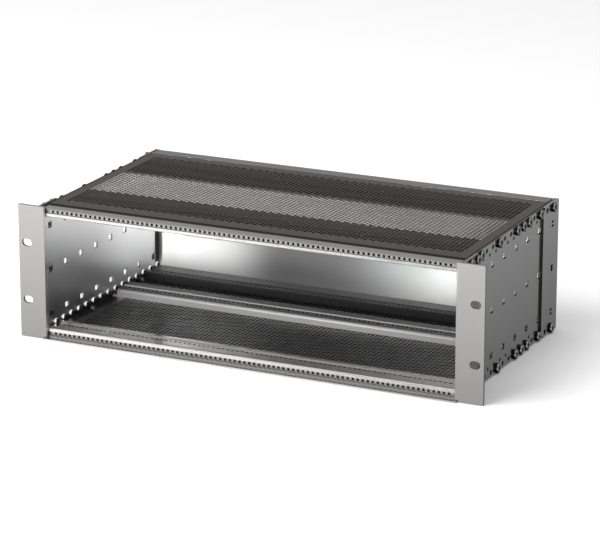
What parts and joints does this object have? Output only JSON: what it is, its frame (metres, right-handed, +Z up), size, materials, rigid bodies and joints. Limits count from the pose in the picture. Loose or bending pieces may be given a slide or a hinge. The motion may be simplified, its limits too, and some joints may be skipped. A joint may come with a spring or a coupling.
{
  "type": "subrack",
  "caption": "Rack-mount subrack with slotted front flanges, extruded rails with threaded strips, perforated top and bottom covers, punched side panels and a closed rear panel.",
  "frame": {"origin": "centre of the four rack slots, on the plane of the back faces of the flanges", "axes": "+X along the front, left to right seen from the front; +Y from the front into the rack; +Z up"},
  "size_m": [0.4826, 0.2454, 0.1324],
  "materials": {
    "panel": "satin rolled sheet",
    "bracket": "satin anodised",
    "rail": "satin anodised extrusion",
    "cover": "satin perforated sheet",
    "rear": "satin sheet",
    "strip": "zinc plated",
    "screw": "nickel plated"
  },
  "bodies": {
    "root": {"side_panel_left": "panel", "front_bracket_left": "bracket", "rear_bracket_left": "panel", "rail_screws_left": "screw", "cover_screws_left": "screw", "side_panel_right": "panel", "front_bracket_right": "bracket", "rear_bracket_right": "panel", "rail_screws_right": "screw", "cover_screws_right": "screw", "front_rail_top": "rail", "middle_rail_top": "rail", "rear_rail_top": "rail", "front_strip_top": "strip", "rear_strip_top": "strip", "front_rail_bottom": "rail", "middle_rail_bottom": "rail", "rear_rail_bottom": "rail", "front_strip_bottom": "strip", "rear_strip_bottom": "strip", "top_cover": "cover", "bottom_cover": "cover", "rear_panel": "rear", "rear_panel_screws": "screw", "grub_screws": "screw"}
  },
  "joints": []
}
